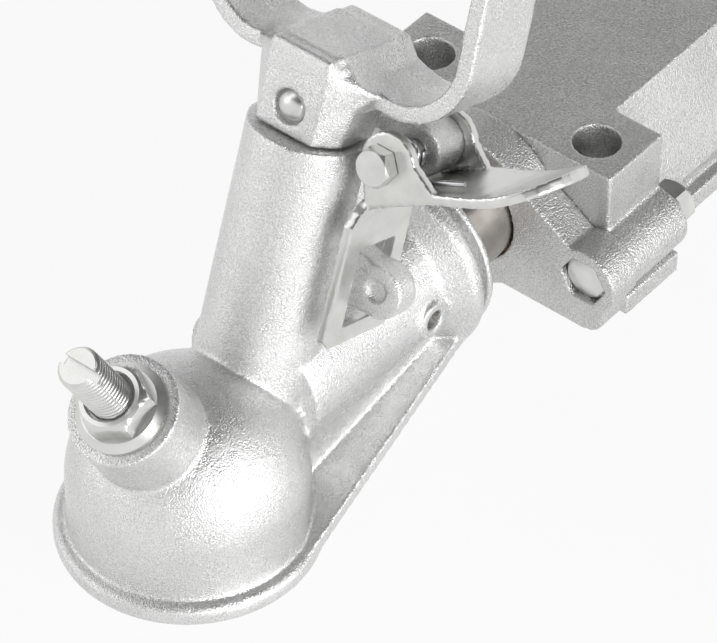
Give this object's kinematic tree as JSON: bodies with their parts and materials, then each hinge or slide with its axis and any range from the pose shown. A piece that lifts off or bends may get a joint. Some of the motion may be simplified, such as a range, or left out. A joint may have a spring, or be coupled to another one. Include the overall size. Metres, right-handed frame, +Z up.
{
  "type": "trailer coupling head",
  "caption": "Cast trailer coupling head for a 50 mm tow ball, with a lift handle, a side safety latch, a wear adjusting screw and an override shaft that slides in a bolt-on body.",
  "frame": {"origin": "centre of the four mounting holes, on the underside of the body", "axes": "+X forward towards the tow ball, +Y towards the side with the latch, +Z up"},
  "size_m": [0.329, 0.1338, 0.1721],
  "materials": {
    "cast": "sand-cast, silver zinc coat",
    "zinc": "bright zinc plated",
    "ground_steel": "ground, lightly browned",
    "spring_steel": "drawn wire",
    "bush": "turned"
  },
  "bodies": {
    "body": {"body_casting": "cast", "front_plate": "cast", "front_bush": "bush", "rear_bush": "bush", "clamp_bolt_left": "zinc", "clamp_washer_left": "zinc", "clamp_nut_left": "zinc", "clamp_bolt_right": "zinc", "clamp_washer_right": "zinc", "clamp_nut_right": "zinc"},
    "head": {"head_casting": "cast", "shaft": "ground_steel", "shaft_cross_pin": "ground_steel", "stop_ring": "spring_steel", "adjusting_screw": "zinc", "adjusting_lock_nut": "zinc", "plunger_spring": "spring_steel"},
    "jaw": {"ball_clamp": "ground_steel"},
    "handle": {"handle": "cast", "handle_pin": "zinc", "locking_plunger": "ground_steel", "latch_bolt": "zinc", "latch_nut": "zinc"},
    "latch": {"latch_plate": "zinc", "latch_spring": "spring_steel"}
  },
  "joints": [
    {"name": "override_slide", "type": "slide", "parent": "body", "child": "head", "axis": [-1, 0, 0], "range_m": [0, 0.015]},
    {"name": "handle_lift", "type": "slide", "parent": "head", "child": "handle", "axis": [-0.3256, 0, 0.9455], "range_m": [0, 0.01], "stiffness_N_per_m": 1500, "springref_m": -0.01, "deforming": ["plunger_spring"]},
    {"name": "latch_turn", "type": "hinge", "parent": "handle", "child": "latch", "pos_m": [0.14517, 0.026, 0.09965], "axis": [0.9455, 0, 0.3256], "range_deg": [0, 45]},
    {"name": "jaw_slide", "type": "slide", "parent": "head", "child": "jaw", "axis": [-1, 0, 0], "range_m": [0, 0.003]}
  ],
  "couplings": [
    {"joint": "latch_turn", "follows": "handle_lift", "rad_per_m": 78.5},
    {"joint": "jaw_slide", "follows": "handle_lift", "ratio": 0.3}
  ]
}
